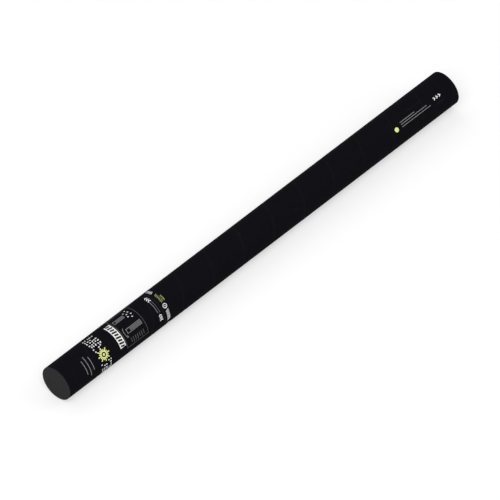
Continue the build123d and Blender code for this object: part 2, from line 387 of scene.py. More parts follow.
def largest(socket, *others):
    """The largest of several sockets."""
    for other in others:
        socket = socket.maths("MAXIMUM", other)
    return socket


class Graph:
    """A node tree that nodes are added to."""

    def __init__(self, tree):
        self.tree = tree

    def node(self, kind, inputs, output=0, **settings):
        """Add a node, set it up, fill its sockets with values or links, and give an output or several."""
        made = self.tree.nodes.new(kind)
        for name, value in settings.items():
            setattr(made, name, value)
        for name, value in inputs.items():
            self.feed(made.inputs[name], value)
        if isinstance(output, tuple):
            return [Socket(self, made.outputs[name]) for name in output]
        return Socket(self, made.outputs[output])

    def feed(self, socket, value):
        """Set a socket's value, or link it to another socket or to each one in a list."""
        if isinstance(value, Socket):
            self.tree.links.new(value.link, socket)
        elif isinstance(value, list):
            for one in value:
                self.feed(socket, one)
        elif socket.type == "RGBA":
            socket.default_value = (*value, 1)
        else:
            socket.default_value = value

    def parts(self, vector):
        """The three numbers of a vector."""
        return self.node("ShaderNodeSeparateXYZ", {0: vector}, ("X", "Y", "Z"))

    def vector(self, x, y, z):
        """A vector from three numbers."""
        return self.node("ShaderNodeCombineXYZ", {"X": x, "Y": y, "Z": z})


class Finish(Graph):
    """A material under construction: a Principled shader, with patterns on Object coordinates."""

    def __init__(self, name, constants):
        self.material = bpy.data.materials.new(name)
        self.material.use_nodes = True
        super().__init__(self.material.node_tree)
        self.place = self.node("ShaderNodeTexCoord", {}, "Object")
        self.set(constants)

    def set(self, sockets):
        """Feed sockets of the shader."""
        shader = self.tree.nodes["Principled BSDF"]
        for name, value in sockets.items():
            self.feed(shader.inputs[name], value)

    def noise(self, scale, detail, stretch=(1, 1, 1)):
        """Noise from 0 to 1, with features about 1/scale metres across, before the stretch."""
        place = self.node("ShaderNodeMapping", {"Vector": self.place, "Scale": stretch})
        return self.node("ShaderNodeTexNoise", {"Vector": place, "Scale": scale, "Detail": detail})

    def mixed(self, factor, first, second):
        """A colour between two."""
        return self.node("ShaderNodeMix", {0: factor, 6: first, 7: second}, 2, data_type="RGBA")

    def along(self):
        """Distance along the tube."""
        return self.parts(self.place)[0]

    def across(self):
        """Distances from the tube's axis, to the side and up."""
        side, up = self.parts(self.place)[1:]
        return side, up - AXIS_HEIGHT

    def distance(self):
        """Distance from the tube's axis."""
        side, up = self.across()
        return (side * side + up * up) ** 0.5

    def turn(self):
        """Angle round the tube's axis in turns, from -0.5 to 0.5."""
        side, up = self.across()
        return (side * -1).maths("ARCTAN2", up) / TURN

    def done(self, colour, roughness, height, relief):
        """The finished material, with its relief from a height between 0 and 1 and a depth in metres."""
        normal = self.node("ShaderNodeBump", {"Height": height, "Distance": relief})
        self.set({"Base Color": colour, "Roughness": roughness, "Normal": normal})
        return self.material


class Growth(Graph):
    """A Geometry Nodes tree under construction, with named inputs."""

    def __init__(self, name, inputs):
        super().__init__(bpy.data.node_groups.new(name, "GeometryNodeTree"))
        sockets = self.tree.interface
        sockets.new_socket("Geometry", in_out="OUTPUT", socket_type="NodeSocketGeometry")
        for label, kind in {"Geometry": "Geometry", **inputs}.items():
            sockets.new_socket(label, in_out="INPUT", socket_type=f"NodeSocket{kind}")
        entry = self.tree.nodes.new("NodeGroupInput")
        self.given = {output.name: Socket(self, output) for output in entry.outputs if output.name}

    def position(self):
        """The three numbers of a point's place."""
        return self.parts(self.node("GeometryNodeInputPosition", {}))

    def drawn(self, kind, low, high, seed):
        """A random number or vector for each point or instance."""
        low_socket, high_socket, output = {"FLOAT_VECTOR": (0, 1, 0), "FLOAT": (2, 3, 1)}[kind]
        inputs = {low_socket: low, high_socket: high, "Seed": seed}
        return self.node("FunctionNodeRandomValue", inputs, output, data_type=kind)

    def done(self, geometry, material):
        """The finished tree, which makes instances real and sets their material at its end."""
        real = self.node("GeometryNodeRealizeInstances", {"Geometry": geometry})
        finished = self.node("GeometryNodeSetMaterial", {"Geometry": real, "Material": material})
        result = self.tree.nodes.new("NodeGroupOutput")
        self.feed(result.inputs["Geometry"], finished)
        return self.tree


# Finishes


def shade(level):
    """A neutral colour."""
    return (level, level, level)


def darker(colour, share):
    """A colour with a share of its light."""
    return tuple(channel * share for channel in colour)


def black_paper():
    """Matt laminated black paper: fibre speckle, spiral plies that show through, scratches, pale edges."""
    finish = Finish("black_paper", {"Specular IOR Level": 0.003})
    along = finish.along()
    turn = finish.turn()
    grain = finish.noise(1900, 3)
    cloud = finish.noise(18, 3, (0.35, 1, 1))
    plies = (along / PAPER_SPIRAL + turn).maths("FRACT").line(0.5, 0.02)
    handled = finish.noise(26, 2).between(0.5, 0.66)
    scratches = finish.noise(300, 4, (0.06, 1, 1)).between(0.66, 0.74) * handled
    rubbed = finish.noise(1300, 4).between(0.5, 0.68)
    ends = (BASE_X, HANDLE_END, BARREL_START, MUZZLE_X)
    edge = largest(*[along.line(end, PAPER_WORN_EDGE) for end in ends])
    lap = turn.line(LAP_PLACE / TURN - 1, PAPER_LAP_LINE / (TURN * TUBE_RADIUS))
    ink = finish.mixed(cloud, (0.0028, 0.0027, 0.0038), (0.0041, 0.0039, 0.0054))
    speckled = finish.mixed(grain.between(0.42, 0.72), ink, (0.0082, 0.0079, 0.0102))
    ridged = finish.mixed(plies * 0.35, speckled, (0.0125, 0.0122, 0.0138))
    scratched = finish.mixed(scratches * 0.45, ridged, (0.030, 0.030, 0.032))
    colour = finish.mixed(edge * rubbed * 0.3 + lap * 0.55, scratched, (0.16, 0.155, 0.15))
    roughness = 0.5 + grain * 0.12 + scratches * 0.15 + cloud * 0.06
    return finish.done(colour, roughness, grain * 0.4 + plies * 0.6, PAPER_RELIEF)


def tube_board():
    """Brown wound board: fibres, spiral joints along the bore, plies on the cut end, ink at the seam."""
    finish = Finish("tube_board", {"Specular IOR Level": 0.2})
    along = finish.along()
    fibres = finish.noise(1500, 4, (0.25, 1, 1))
    flecks = finish.noise(5200, 2).between(0.66, 0.74)
    plies = (finish.distance() / BOARD_PLY).maths("FRACT").away(0.5, 0.05, 0.3)
    joint = (along / BOARD_SPIRAL + finish.turn()).maths("FRACT").away(0.5, 0.004, 0.016)
    inked = 1 - along.away(SEAM_X, *BOARD_INKED_EDGE)
    brown = finish.mixed(fibres, (0.20, 0.145, 0.095), (0.34, 0.26, 0.18))
    edged = finish.mixed(inked, brown, shade(0.006))
    specked = finish.mixed(flecks * 0.5 * (1 - inked), edged, (0.11, 0.075, 0.05))
    gaps = finish.mixed(0.45, specked, (0.10, 0.07, 0.045))
    colour = finish.mixed(plies * joint, gaps, specked)
    height = fibres * 0.3 + plies * 0.3 + joint * 0.4
    return finish.done(colour, 0.82 + fibres * 0.14, height, BOARD_RELIEF)


def cap_plastic():
    """Dark grey moulded plastic: spark-eroded grain, faint tool rings, flow clouds and a gate mark, whose pit and
    a ring round it are darkened as painted shade.
    """
    finish = Finish("cap_plastic", {"Specular IOR Level": 0.07})
    distance = finish.distance()
    grain = finish.noise(2600, 2)
    flow = finish.noise(120, 3)
    rings = distance.waves(CAP_RING_PITCH)
    # The gate's pit: a real dimple in the relief, which is also darkened below as painted shade
    gate = 1 - distance.between(*CAP_GATE)
    gate_shade_ring = distance.line(CAP_GATE_SHADE_RING, CAP_GATE_SHADE_WIDTH)
    handled = finish.noise(60, 2).between(0.48, 0.64)
    scratches = finish.noise(240, 4, (1, 0.08, 1)).between(0.64, 0.72) * handled
    rubbed = distance.between(*CAP_WORN_RIM) * finish.noise(1100, 4).between(0.5, 0.66)
    grey = finish.mixed(flow.between(0.3, 0.7), (0.0087, 0.0090, 0.0091), (0.0124, 0.0127, 0.0128))
    grained = finish.mixed(grain.between(0.4, 0.7) * 0.75, grey, (0.0244, 0.0248, 0.0250))
    ringed = finish.mixed(rings * 0.12, grained, shade(0.032))
    # Painted shade: the gate's pit and the ring round it are darkened, standing in for the dimple's shade
    gate_shaded = finish.mixed(gate * 0.55 + gate_shade_ring * 0.45, ringed, shade(0.006))
    colour = finish.mixed(scratches * 0.18 + rubbed * 0.5, gate_shaded, shade(0.06))
    height = grain * 0.3 + rings * 0.1 + (1 - gate) * 0.6
    return finish.done(colour, 0.5 + grain * 0.16 + flow * 0.06, height, CAP_RELIEF)


def print_ink(name, colour):
    """Screen ink on the wrap: a little uneven, with pin holes where it is thin."""
    finish = Finish(name, {"Specular IOR Level": 0.2})
    body = finish.noise(700, 3)
    holes = finish.noise(4200, 2).between(0.7, 0.78)
    uneven = finish.mixed(body, darker(colour, 0.82), colour)
    return finish.done(uneven, 0.5 + body * 0.15 + holes * 0.2, body * 0.6 + holes * 0.4, INK_RELIEF)


def silver_film():
    """Bright metallised film, cut into slips: a tone of its own for each slip, creases and a soft haze."""
    finish = Finish("silver_film", {"Metallic": 1.0})
    tone = finish.node("ShaderNodeAttribute", {}, "Fac", attribute_name="slip_tone")
    creases = finish.noise(160, 3, (0.4, 1, 3))
    haze = finish.noise(900, 2, (0.3, 1, 1))
    silver = finish.mixed(tone, (0.60, 0.61, 0.63), (0.90, 0.905, 0.92))
    return finish.done(silver, 0.16 + tone * 0.12 + haze * 0.1, creases, FILM_RELIEF)


def band_paper():
    """White kraft paper with a few fibres and flecks."""
    finish = Finish("band_paper", {"Specular IOR Level": 0.2})
    fibres = finish.noise(1800, 4, (0.2, 1, 1))
    flecks = finish.noise(2600, 2).between(0.68, 0.75)
    white = finish.mixed(fibres, (0.62, 0.60, 0.55), (0.78, 0.765, 0.72))
    colour = finish.mixed(flecks * 0.35, white, (0.45, 0.40, 0.33))
    return finish.done(colour, 0.72 + fibres * 0.2, fibres * 0.7 + flecks * 0.3, BAND_RELIEF)


def grey_felt():
    """Pressed wool felt: mottled grey, tangled and without shine."""
    finish = Finish("grey_felt", {"Specular IOR Level": 0.1, "Sheen Weight": 0.25, "Sheen Roughness": 0.6})
    tangle = finish.noise(1700, 5)
    mottle = finish.noise(320, 3)
    dark = finish.mixed(mottle, (0.085, 0.085, 0.088), (0.17, 0.168, 0.165))
    colour = finish.mixed(tangle.between(0.45, 0.7), dark, (0.30, 0.295, 0.285))
    return finish.done(colour, 0.86 + tangle * 0.12, tangle * 0.7 + mottle * 0.3, FELT_RELIEF)


def black_board():
    """Dyed black board: short fibres and a slightly paler pressed edge."""
    finish = Finish("black_board", {"Specular IOR Level": 0.15})
    fibres = finish.noise(2100, 4, (1, 0.35, 1))
    edge = finish.distance().between(*DISC_WORN_EDGE)
    dyed = finish.mixed(fibres, (0.010, 0.010, 0.011), (0.024, 0.023, 0.023))
    colour = finish.mixed(edge * fibres * 0.6, dyed, (0.07, 0.066, 0.06))
    return finish.done(colour, 0.74 + fibres * 0.2, fibres, DISC_RELIEF)


def moulded(name, colour, roughness):
    """Moulded plastic of one colour: spark grain, faint flow clouds and tool lines round the axis."""
    finish = Finish(name, {"Specular IOR Level": 0.4})
    grain = finish.noise(3000, 2)
    flow = finish.noise(90, 3)
    lines = finish.along().waves(MOULD_LINE_PITCH)
    clouded = finish.mixed(flow, darker(colour, 0.86), colour)
    height = grain * 0.7 + lines * 0.3
    return finish.done(clouded, roughness + grain * 0.1 + flow * 0.08, height, MOULD_RELIEF)


def turned_metal(name, colour, roughness):
    """Metal turned on a lathe: rings along the axis, brightness that wanders, small stains."""
    finish = Finish(name, {"Metallic": 1.0})
    rings = finish.noise(60, 3, (90, 1, 1))
    stain = finish.noise(240, 4)
    stained = finish.mixed(stain.between(0.25, 0.75), darker(colour, 0.88), colour)
    return finish.done(stained, roughness + rings * 0.12 + stain * 0.06, rings, METAL_RELIEF)


def black_rubber():
    """Moulded black rubber with a chalky bloom."""
    finish = Finish("black_rubber", {"Specular IOR Level": 0.3})
    bloom = finish.noise(420, 4)
    grain = finish.noise(3600, 2)
    colour = finish.mixed(bloom.between(0.4, 0.75), shade(0.012), shade(0.034))
    return finish.done(colour, 0.66 + bloom * 0.2, grain, RUBBER_RELIEF)


FINISHES = {
    "black_wrap": black_paper(),
    "tube_board": tube_board(),
    "cap_plastic": cap_plastic(),
    **{slot: moulded(slot, *look) for slot, look in PLASTICS.items()},
    **{slot: turned_metal(slot, *look) for slot, look in METALS.items()},
    "black_rubber": black_rubber(),
    "grey_felt": grey_felt(),
    "silver_slips": silver_film(),
    "band_paper": band_paper(),
    "disc_board": black_board(),
}
INKS = {ink: print_ink(f"{ink}_ink", colour) for ink, colour in INK_COLOURS.items()}


# Meshes


def on_tube(along, radius, angle):
    """The point at a distance along the tube, a distance from its axis and an angle round it."""
    return Vector((along, -radius * math.sin(angle), AXIS_HEIGHT + radius * math.cos(angle)))


def finished_mesh(shape):
    """A smooth-shaded mesh with its hard edges kept, from a closed shape under construction."""
    bmesh.ops.remove_doubles(shape, verts=shape.verts, dist=MERGE_DISTANCE)
    bmesh.ops.recalc_face_normals(shape, faces=shape.faces)
    mesh = bpy.data.meshes.new("mesh")
    shape.to_mesh(mesh)
    shape.free()
    mesh.polygons.foreach_set("use_smooth", [True] * len(mesh.polygons))
    mesh.set_sharp_from_angle(angle=SHARP_ANGLE)
    return mesh


def joined_rings(rings, capped=False):
    """A closed mesh through rings of points: the last ring joins the first, or both are capped."""
    shape = bmesh.new()
    loops = [[shape.verts.new(point) for point in ring] for ring in rings]
    for loop, following in zip(loops, loops[1:] if capped else loops[1:] + loops[:1]):
        for k in range(max(len(loop), len(following))):
            corners = [
                loop[k % len(loop)],
                loop[(k + 1) % len(loop)],
                following[(k + 1) % len(following)],
                following[k % len(following)],
            ]
            distinct = list(dict.fromkeys(corners))
            if len(distinct) > 2:
                shape.faces.new(distinct)
    if capped:
        shape.faces.new(loops[0])
        shape.faces.new(loops[-1])
    return finished_mesh(shape)


def rounded(corners, steps):
    """Outline points from (along, radius, round) corners, with an arc where the round isn't 0."""
    points = []
    for index, (along, radius, fillet) in enumerate(corners):
        here = Vector((along, radius))
        if not fillet:
            points.append(here)
            continue
        back = (Vector(corners[index - 1][:2]) - here).normalized()
        ahead = (Vector(corners[(index + 1) % len(corners)][:2]) - here).normalized()
        half = back.angle(ahead) / 2
        centre = here + (back + ahead).normalized() * fillet / math.sin(half)
        first = (here + back * fillet / math.tan(half) - centre).normalized()
        last = (here + ahead * fillet / math.tan(half) - centre).normalized()
        points += [centre + first.slerp(last, step / steps) * fillet for step in range(steps + 1)]
    return points


def lathe(corners, steps=ROUND_STEPS):
    """A closed mesh turned about the tube's axis from (along, radius, round) corners."""
    rings = []
    for along, radius in rounded(corners, steps):
        count = TUBE_SEGMENTS if radius > 0 else 1
        rings.append([on_tube(along, radius, TURN * k / count) for k in range(count)])
    return joined_rings(rings)


def grown(base, tree, values):
    """The plain mesh that a Geometry Nodes tree makes from a base mesh and named values."""
    source = bpy.data.objects.new("growth", base)
    bpy.context.scene.collection.objects.link(source)
    modifier = source.modifiers.new("growth", "NODES")
    modifier.node_group = tree
    for item in tree.interface.items_tree:
        if item.in_out == "INPUT" and item.name in values:
            modifier[item.identifier] = values[item.name]
    bpy.context.view_layer.update()
    evaluated = source.evaluated_get(bpy.context.evaluated_depsgraph_get())
    mesh = bpy.data.meshes.new_from_object(evaluated)
    bpy.data.objects.remove(source)
    bpy.data.meshes.remove(base)
    return mesh


def add_piece(name, mesh, body, slot=None, stands_for=(), finish=None):
    """Put a mesh in the scene as a piece that moves with a body, in its slot's finish or another."""
    mesh.name = name
    mesh.materials.clear()
    mesh.materials.append(finish or FINISHES[slot])
    piece = bpy.data.objects.new(name, mesh)
    bpy.context.scene.collection.objects.link(piece)
    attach(piece, body)
    if stands_for:
        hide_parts(*stands_for)
    return piece


# Tubes and their wraps


def wrap_sheet(start, end):
    """Paper round a tube: one sheet, whose free edge laps over its beginning."""
    turns = [TURN * step / TUBE_SEGMENTS for step in range(TUBE_SEGMENTS + 1)]

    def ring(along, sink):
        points = []
        for turned in turns:
            past_lap = (turned * TUBE_RADIUS - LAP_WIDTH) / LAP_RAMP
            rise = LAP_RISE * min(1, max(0, 1 - past_lap))
            points.append(on_tube(along, TUBE_RADIUS + rise - sink, LAP_PLACE + turned))
        return points

    rings = [ring(start, WRAP_BEVEL), ring(start + WRAP_BEVEL, 0)]
    rings += [ring(end - WRAP_BEVEL, 0), ring(end, WRAP_BEVEL)]
    for along in (end, start):
        rings.append([on_tube(along, BOARD_RADIUS + GLUE_LINE, LAP_PLACE + turned) for turned in turns])
    return joined_rings(rings)


def board_tube(start, end):
    """A wound board tube with its cut edges just broken."""
    ends = ((start, BORE_RADIUS), (start, BOARD_RADIUS), (end, BOARD_RADIUS), (end, BORE_RADIUS))
    return lathe([(along, radius, BOARD_BEVEL) for along, radius in ends])


def add_tubes():
    """The paper and the board of the handle and of the barrel."""
    for body, start, end in (("handle", HANDLE_START, HANDLE_END), ("barrel", BARREL_START, MUZZLE_X)):
        add_piece(f"{body}_sheet", wrap_sheet(start, end), body, "black_wrap", [f"{body}_wrap"])
    for body, start, end in (("handle", BOARD_START, HANDLE_END), ("barrel", BARREL_START, MUZZLE_X)):
        add_piece(f"{body}_board", board_tube(start, end), body, "tube_board", [f"{body}_tube"])


# Print


def even_points(points, closed):
    """A line of straight runs, with points no more than one print step apart."""
    ends = points[1:] + points[:1] if closed else points[1:]
    line = []
    for start, end in zip(points, ends):
        count = max(1, math.ceil((end - start).length / PRINT_STEP))
        line += [start.lerp(end, step / count) for step in range(count)]
    return line if closed else line + [points[-1]]


def stroke(points, width, closed=False):
    """A printed line as pairs of points on its two sides, mitred at its corners."""
    line = even_points([Vector(point) for point in points], closed)
    sides = []
    for index, here in enumerate(line):
        before = line[index - 1] if closed or index else None
        after = line[(index + 1) % len(line)] if closed or index + 1 < len(line) else None
        leaving = (after - here if after else here - before).normalized()
        arriving = (here - before if before else after - here).normalized()
        forward = (arriving + leaving).normalized()
        reach = width / 2 / max(MITRE_LEAST, forward.dot(leaving))
        across = Vector((-forward.y, forward.x)) * reach
        sides.append((here + across, here - across))
    return sides + sides[:1] if closed else sides


def arc(degrees):
    """The distance round the tube, in millimetres, of an angle from the printed face's middle."""
    return math.radians(degrees) * TUBE_RADIUS / MM


def ray(angle):
    """The direction of an angle on the flat print."""
    return Vector((math.cos(angle), math.sin(angle)))


def dash(middle, half, width):
    """A short printed line, by its middle and the way from there to its end."""
    return stroke([middle - half, middle + half], width)


def round_bar(place, width, first, last):
    """A printed bar that runs round the tube between two angles."""
    return stroke([(place, arc(first)), (place, arc(last))], width)


def rectangle(low, high, first, last, width):
    """A printed rectangle's outline, between two distances from the base and two round the tube."""
    corners = [(low, first), (high, first), (high, last), (low, last)]
    return stroke(corners, width, closed=True)


def circle(centre, radius, width):
    """A printed circle."""
    turns = [TURN * step / PRINT_RING_STEPS for step in range(PRINT_RING_STEPS)]
    return stroke([Vector(centre) + ray(angle) * radius for angle in turns], width, closed=True)


def dot(centre, radius):
    """A filled round mark, as circles one inside another."""
    count = max(1, math.ceil(radius / PRINT_STEP))
    width = radius / count
    return [circle(centre, width * (step + 0.5), width * DOT_LINE_SHARE) for step in range(count)]


def hatch(low, high, first, last, pitch, width):
    """A row of slanting strokes between two distances from the base and two angles."""
    slant = (high - low) * ROW_SLANT_SHARE
    room = arc(last) - arc(first) - slant
    count = max(1, round(room / pitch))
    places = [arc(first) + room * step / count for step in range(count + 1)]
    return [stroke([(low, place + slant), (high, place)], width) for place in places]


def chevrons(centre, count, pitch, half, depth, heading, width):
    """A row of chevrons that point and follow one another along a heading of (along, round)."""
    ahead = Vector(heading)
    aside = Vector((-ahead.y, ahead.x))
    marks = []
    for index in range(count):
        tip = Vector(centre) + ahead * pitch * (index - (count - 1) / 2)
        wings = [tip - ahead * depth + aside * half, tip, tip - ahead * depth - aside * half]
        marks.append(stroke(wings, width))
    return marks


def burst(centre):
    """Dashes that stand out from a dot, every other one shorter."""
    marks = []
    for index in range(BURST_RAYS):
        outwards = ray(TURN * index / BURST_RAYS)
        share = BURST_SHORT_SHARE if index % 2 else 1
        reach = BURST_INNER + (BURST_OUTER - BURST_INNER) * share
        marks.append(stroke([centre + outwards * BURST_INNER, centre + outwards * reach], BURST_LINE))
    return marks + dot(centre, BURST_HUB)


def scattered_rectangles(burst_centre):
    """Small turned rectangles scattered evenly over a field, except near the burst."""
    draw = random.Random(FIELD_SEED)
    first, last = map(arc, FIELD_ANGLES)
    marks = []
    for row in range(FIELD_ROWS):
        for column in range(int((last - first) // FIELD_CELL)):
            place = Vector((
                FIELD_START + FIELD_CELL * (row + 0.5) + draw.uniform(-FIELD_SHIFT, FIELD_SHIFT),
                first + FIELD_CELL * (column + 0.5) + draw.uniform(-FIELD_SHIFT, FIELD_SHIFT),
            ))
            half = ray(draw.uniform(0, math.pi)) * draw.uniform(*FIELD_HALF_LENGTHS)
            if (place - burst_centre).length > FIELD_CLEAR and draw.random() < FIELD_FILL_SHARE:
                marks.append(dash(place, half, FIELD_LINE))
    return marks


def bar_dashes():
    """Slanting dashes along the white bar, long and short by turns."""
    first, last = map(arc, BAR_ANGLES)
    marks = []
    for index in range(DASH_COUNT):
        middle = Vector((BAR_PLACE, first + (last - first) * (index + 0.5) / DASH_COUNT))
        half = Vector((DASH_REACHES[index % 2], DASH_SLANT))
        marks.append(dash(middle, half, DASH_LINE))
    return marks


def tube_outline(places, angle, half):
    """A tube drawn from the side, with a line where its two halves meet."""
    low, split, high = places
    middle = arc(angle)
    outline = rectangle(low, high, middle - half, middle + half, PICTURE_LINE)
    return [outline, dash(Vector((split, middle)), Vector((0, half - PICTURE_LINE)), PICTURE_LINE)]


def tube_tint(places, angle, half):
    """The tint inside a drawn tube, past the line where its two halves meet."""
    inset = PICTURE_LINE / 2 + PICTURE_GAP
    ends = [(places[1] + inset, arc(angle)), (places[2] - inset, arc(angle))]
    return [stroke(ends, 2 * (half - inset))]


def turning_arrow():
    """The arrow that bends round the twisted tube's end."""
    first, last = map(math.radians, ARROW_SWEEP)
    middle = arc(TWISTED_TUBE[1])
    points = []
    for step in range(ARROW_STEPS + 1):
        sweep = ray(first + (last - first) * step / ARROW_STEPS)
        points.append(Vector((ARROW_PLACE - ARROW_REACH * sweep.x, middle + ARROW_HALF * sweep.y)))
    tip = points.pop()
    ahead = (tip - points[-1]).normalized()
    back = tip - ahead * ARROW_HEAD
    aside = Vector((-ahead.y, ahead.x)) * ARROW_HEAD
    wings = [back + aside, tip + ahead * THIN_LINE, back - aside]
    return [stroke(points, THIN_LINE), stroke(wings, THIN_LINE)]


def thrown_squares():
    """The squares that fly out of the throwing tube."""
    places, angle, _ = THROWING_TUBE
    mouth = Vector((places[-1], arc(angle)))
    return [dash(mouth + Vector(offset), Vector(SQUARE_REACH), SQUARE_LINE) for offset in SQUARES]


def panel_frame():
    """The panel's frame and its rules."""
    marks = [rectangle(PANEL_START, PANEL_END, *map(arc, PANEL_ANGLES), PANEL_LINE)]
    for index, angle in enumerate(PANEL_RULE_ENDS):
        place = PANEL_RULE_START + PANEL_RULE_PITCH * index
        marks.append(round_bar(place, PANEL_RULE_LINE, PANEL_RULE_ANGLE, angle))
    return marks


def seam_chevrons():
    """Groups of chevrons round the handle, which point the way that it turns."""
    sizes = (CHEVRON_COUNT, CHEVRON_PITCH, CHEVRON_HALF, CHEVRON_DEPTH)
    marks = []
    for index in range(CHEVRON_GROUPS):
        centre = (CHEVRON_PLACE, arc(CHEVRON_ANGLE + 360 * index / CHEVRON_GROUPS))
        marks += chevrons(centre, *sizes, (0, -1), CHEVRON_LINE)
    return marks


def seam_rules(ink):
    """Thin rules of one ink between groups of chevrons."""
    place, first, last = SEAM_RULES[ink]
    return [round_bar(place, THIN_LINE, turned + first, turned + last) for turned in SEAM_RULE_TURNS]


def off_lap(first, last):
    """Whether marks between two angles stay off the wrap's raised lap."""
    start = math.degrees(LAP_PLACE - PRINT_FACE)
    end = start + math.degrees((LAP_WIDTH + LAP_RAMP) / TUBE_RADIUS)
    return last % 360 < start or first % 360 > end


def barrel_rows():
    """Rows of slanting strokes on the barrel, beside the seam, on either side of a ring with a hand."""
    marks = []
    for turned in ROW_TURNS:
        for first, last in ROW_ANGLES:
            if off_lap(turned + first, turned + last):
                marks += hatch(ROW_START, ROW_END, turned + first, turned + last, ROW_PITCH, ROW_LINE)
        centre = Vector((RING_PLACE, arc(turned + RING_ANGLE)))
        marks.append(circle(centre, RING_RADIUS, RING_LINE))
        marks.append(dash(centre, Vector(RING_HAND), RING_LINE))
    return marks


def lime_rows():
    """Rows of fine lime strokes on the barrel, beside the seam."""
    marks = []
    for turned in ROW_TURNS:
        for low, high, first, last in LIME_ROWS:
            marks += hatch(low, high, turned + first, turned + last, LIME_PITCH, LIME_LINE)
    return marks


def muzzle_pointers():
    """Chevrons that point out of the muzzle."""
    sizes = (POINTER_COUNT, POINTER_PITCH, POINTER_HALF, POINTER_DEPTH)
    return chevrons((POINTER_PLACE, arc(POINTER_ANGLE)), *sizes, (1, 0), POINTER_LINE)


def handle_marks():
    """The handle's print, by ink."""
    burst_centre = Vector((BURST_PLACE, arc(BURST_ANGLE)))
    white_bar = round_bar(BAR_PLACE, BAR_WIDTH, *BAR_ANGLES)
    base_rules = [round_bar(place, BASE_RULE_LINE, first, last) for place, first, last in BASE_RULES]
    outlines = tube_outline(*THROWING_TUBE) + tube_outline(*TWISTED_TUBE)
    tints = tube_tint(*THROWING_TUBE) + tube_tint(*TWISTED_TUBE)
    return {
        "white": scattered_rectangles(burst_centre) + [white_bar] + thrown_squares() + seam_chevrons(),
        "lime": burst(burst_centre),
        "grey": base_rules + outlines + turning_arrow() + seam_rules("grey"),
        "dim": panel_frame() + tints + seam_rules("dim"),
        "black": bar_dashes(),
    }


def barrel_marks():
    """The barrel's print, by ink."""
    long_rules = [[(LONG_RULE_START, arc(angle)), (end, arc(angle))] for end, angle in LONG_RULES]
    return {
        "white": barrel_rows() + muzzle_pointers(),
        "lime": lime_rows() + dot((DOT_PLACE, arc(DOT_ANGLE)), DOT_RADIUS),
        "grey": [stroke(rule, LONG_RULE_LINE) for rule in long_rules],
    }


def flat_print(strokes):
    """A flat mesh of printed lines, in lanes where they are wide: along the tube on X, round it on -Y."""
    shape = bmesh.new()
    for sides in strokes:
        spread = max(abs(left.y - right.y) for left, right in sides)
        lanes = max(1, math.ceil(spread / PRINT_STEP))
        rows = []
        for left, right in sides:
            points = [left.lerp(right, lane / lanes) for lane in range(lanes + 1)]
            rows.append([shape.verts.new((BASE_X + p.x * MM, -p.y * MM, 0)) for p in points])
        for row, following in zip(rows, rows[1:]):
            for lane in range(lanes):
                face = shape.faces.new((row[lane], row[lane + 1], following[lane + 1], following[lane]))
                face.normal_update()
                if face.normal.z < 0:
                    face.normal_flip()
    bmesh.ops.remove_doubles(shape, verts=shape.verts, dist=PRINT_MERGE)
    mesh = bpy.data.meshes.new("flat_print")
    shape.to_mesh(mesh)
    shape.free()
    return mesh


def printing_tree():
    """Geometry Nodes that give flat print its ink's thickness and roll it onto the tube."""
    tree = Growth("roll_print", {
        "Tube Radius": "Float",
        "Axis Height": "Float",
        "Facing Angle": "Float",
        "Ink Rise": "Float",
        "Ink Sink": "Float",
        "Ink": "Material",
    })
    given = tree.given
    flat = given["Geometry"]
    thickness = given["Ink Rise"] + given["Ink Sink"]
    raised = tree.node("GeometryNodeExtrudeMesh", {
        "Mesh": flat, "Offset": (0, 0, 1), "Offset Scale": thickness, "Individual": False,
    })
    under = tree.node("GeometryNodeFlipFaces", {"Mesh": flat})
    both = tree.node("GeometryNodeJoinGeometry", {"Geometry": [raised, under]})
    closed = tree.node("GeometryNodeMergeByDistance", {"Geometry": both, "Distance": MERGE_DISTANCE})
    along, across, height = tree.position()
    angle = given["Facing Angle"] - across / given["Tube Radius"]
    radius = given["Tube Radius"] - given["Ink Sink"] + height
    aside = radius * angle.maths("SINE") * -1
    above = radius * angle.maths("COSINE") + given["Axis Height"]
    rolled = tree.node("GeometryNodeSetPosition", {
        "Geometry": closed, "Position": tree.vector(along, aside, above),
    })
    return tree.done(rolled, given["Ink"])


def add_print():
    """The print on the handle and on the barrel, one piece for each ink."""
    tree = printing_tree()
    for body, drawing in (("handle", handle_marks()), ("barrel", barrel_marks())):
        for ink, strokes in drawing.items():
            mesh = grown(flat_print(strokes), tree, {
                "Tube Radius": TUBE_RADIUS,
                "Axis Height": AXIS_HEIGHT,
                "Facing Angle": PRINT_FACE,
                "Ink Rise": TOP_INK_RISE if ink == "black" else INK_RISE,
                "Ink Sink": INK_SINK,
                "Ink": INKS[ink],
            })
            add_piece(f"{body}_print_{ink}", mesh, body, finish=INKS[ink])


# Load


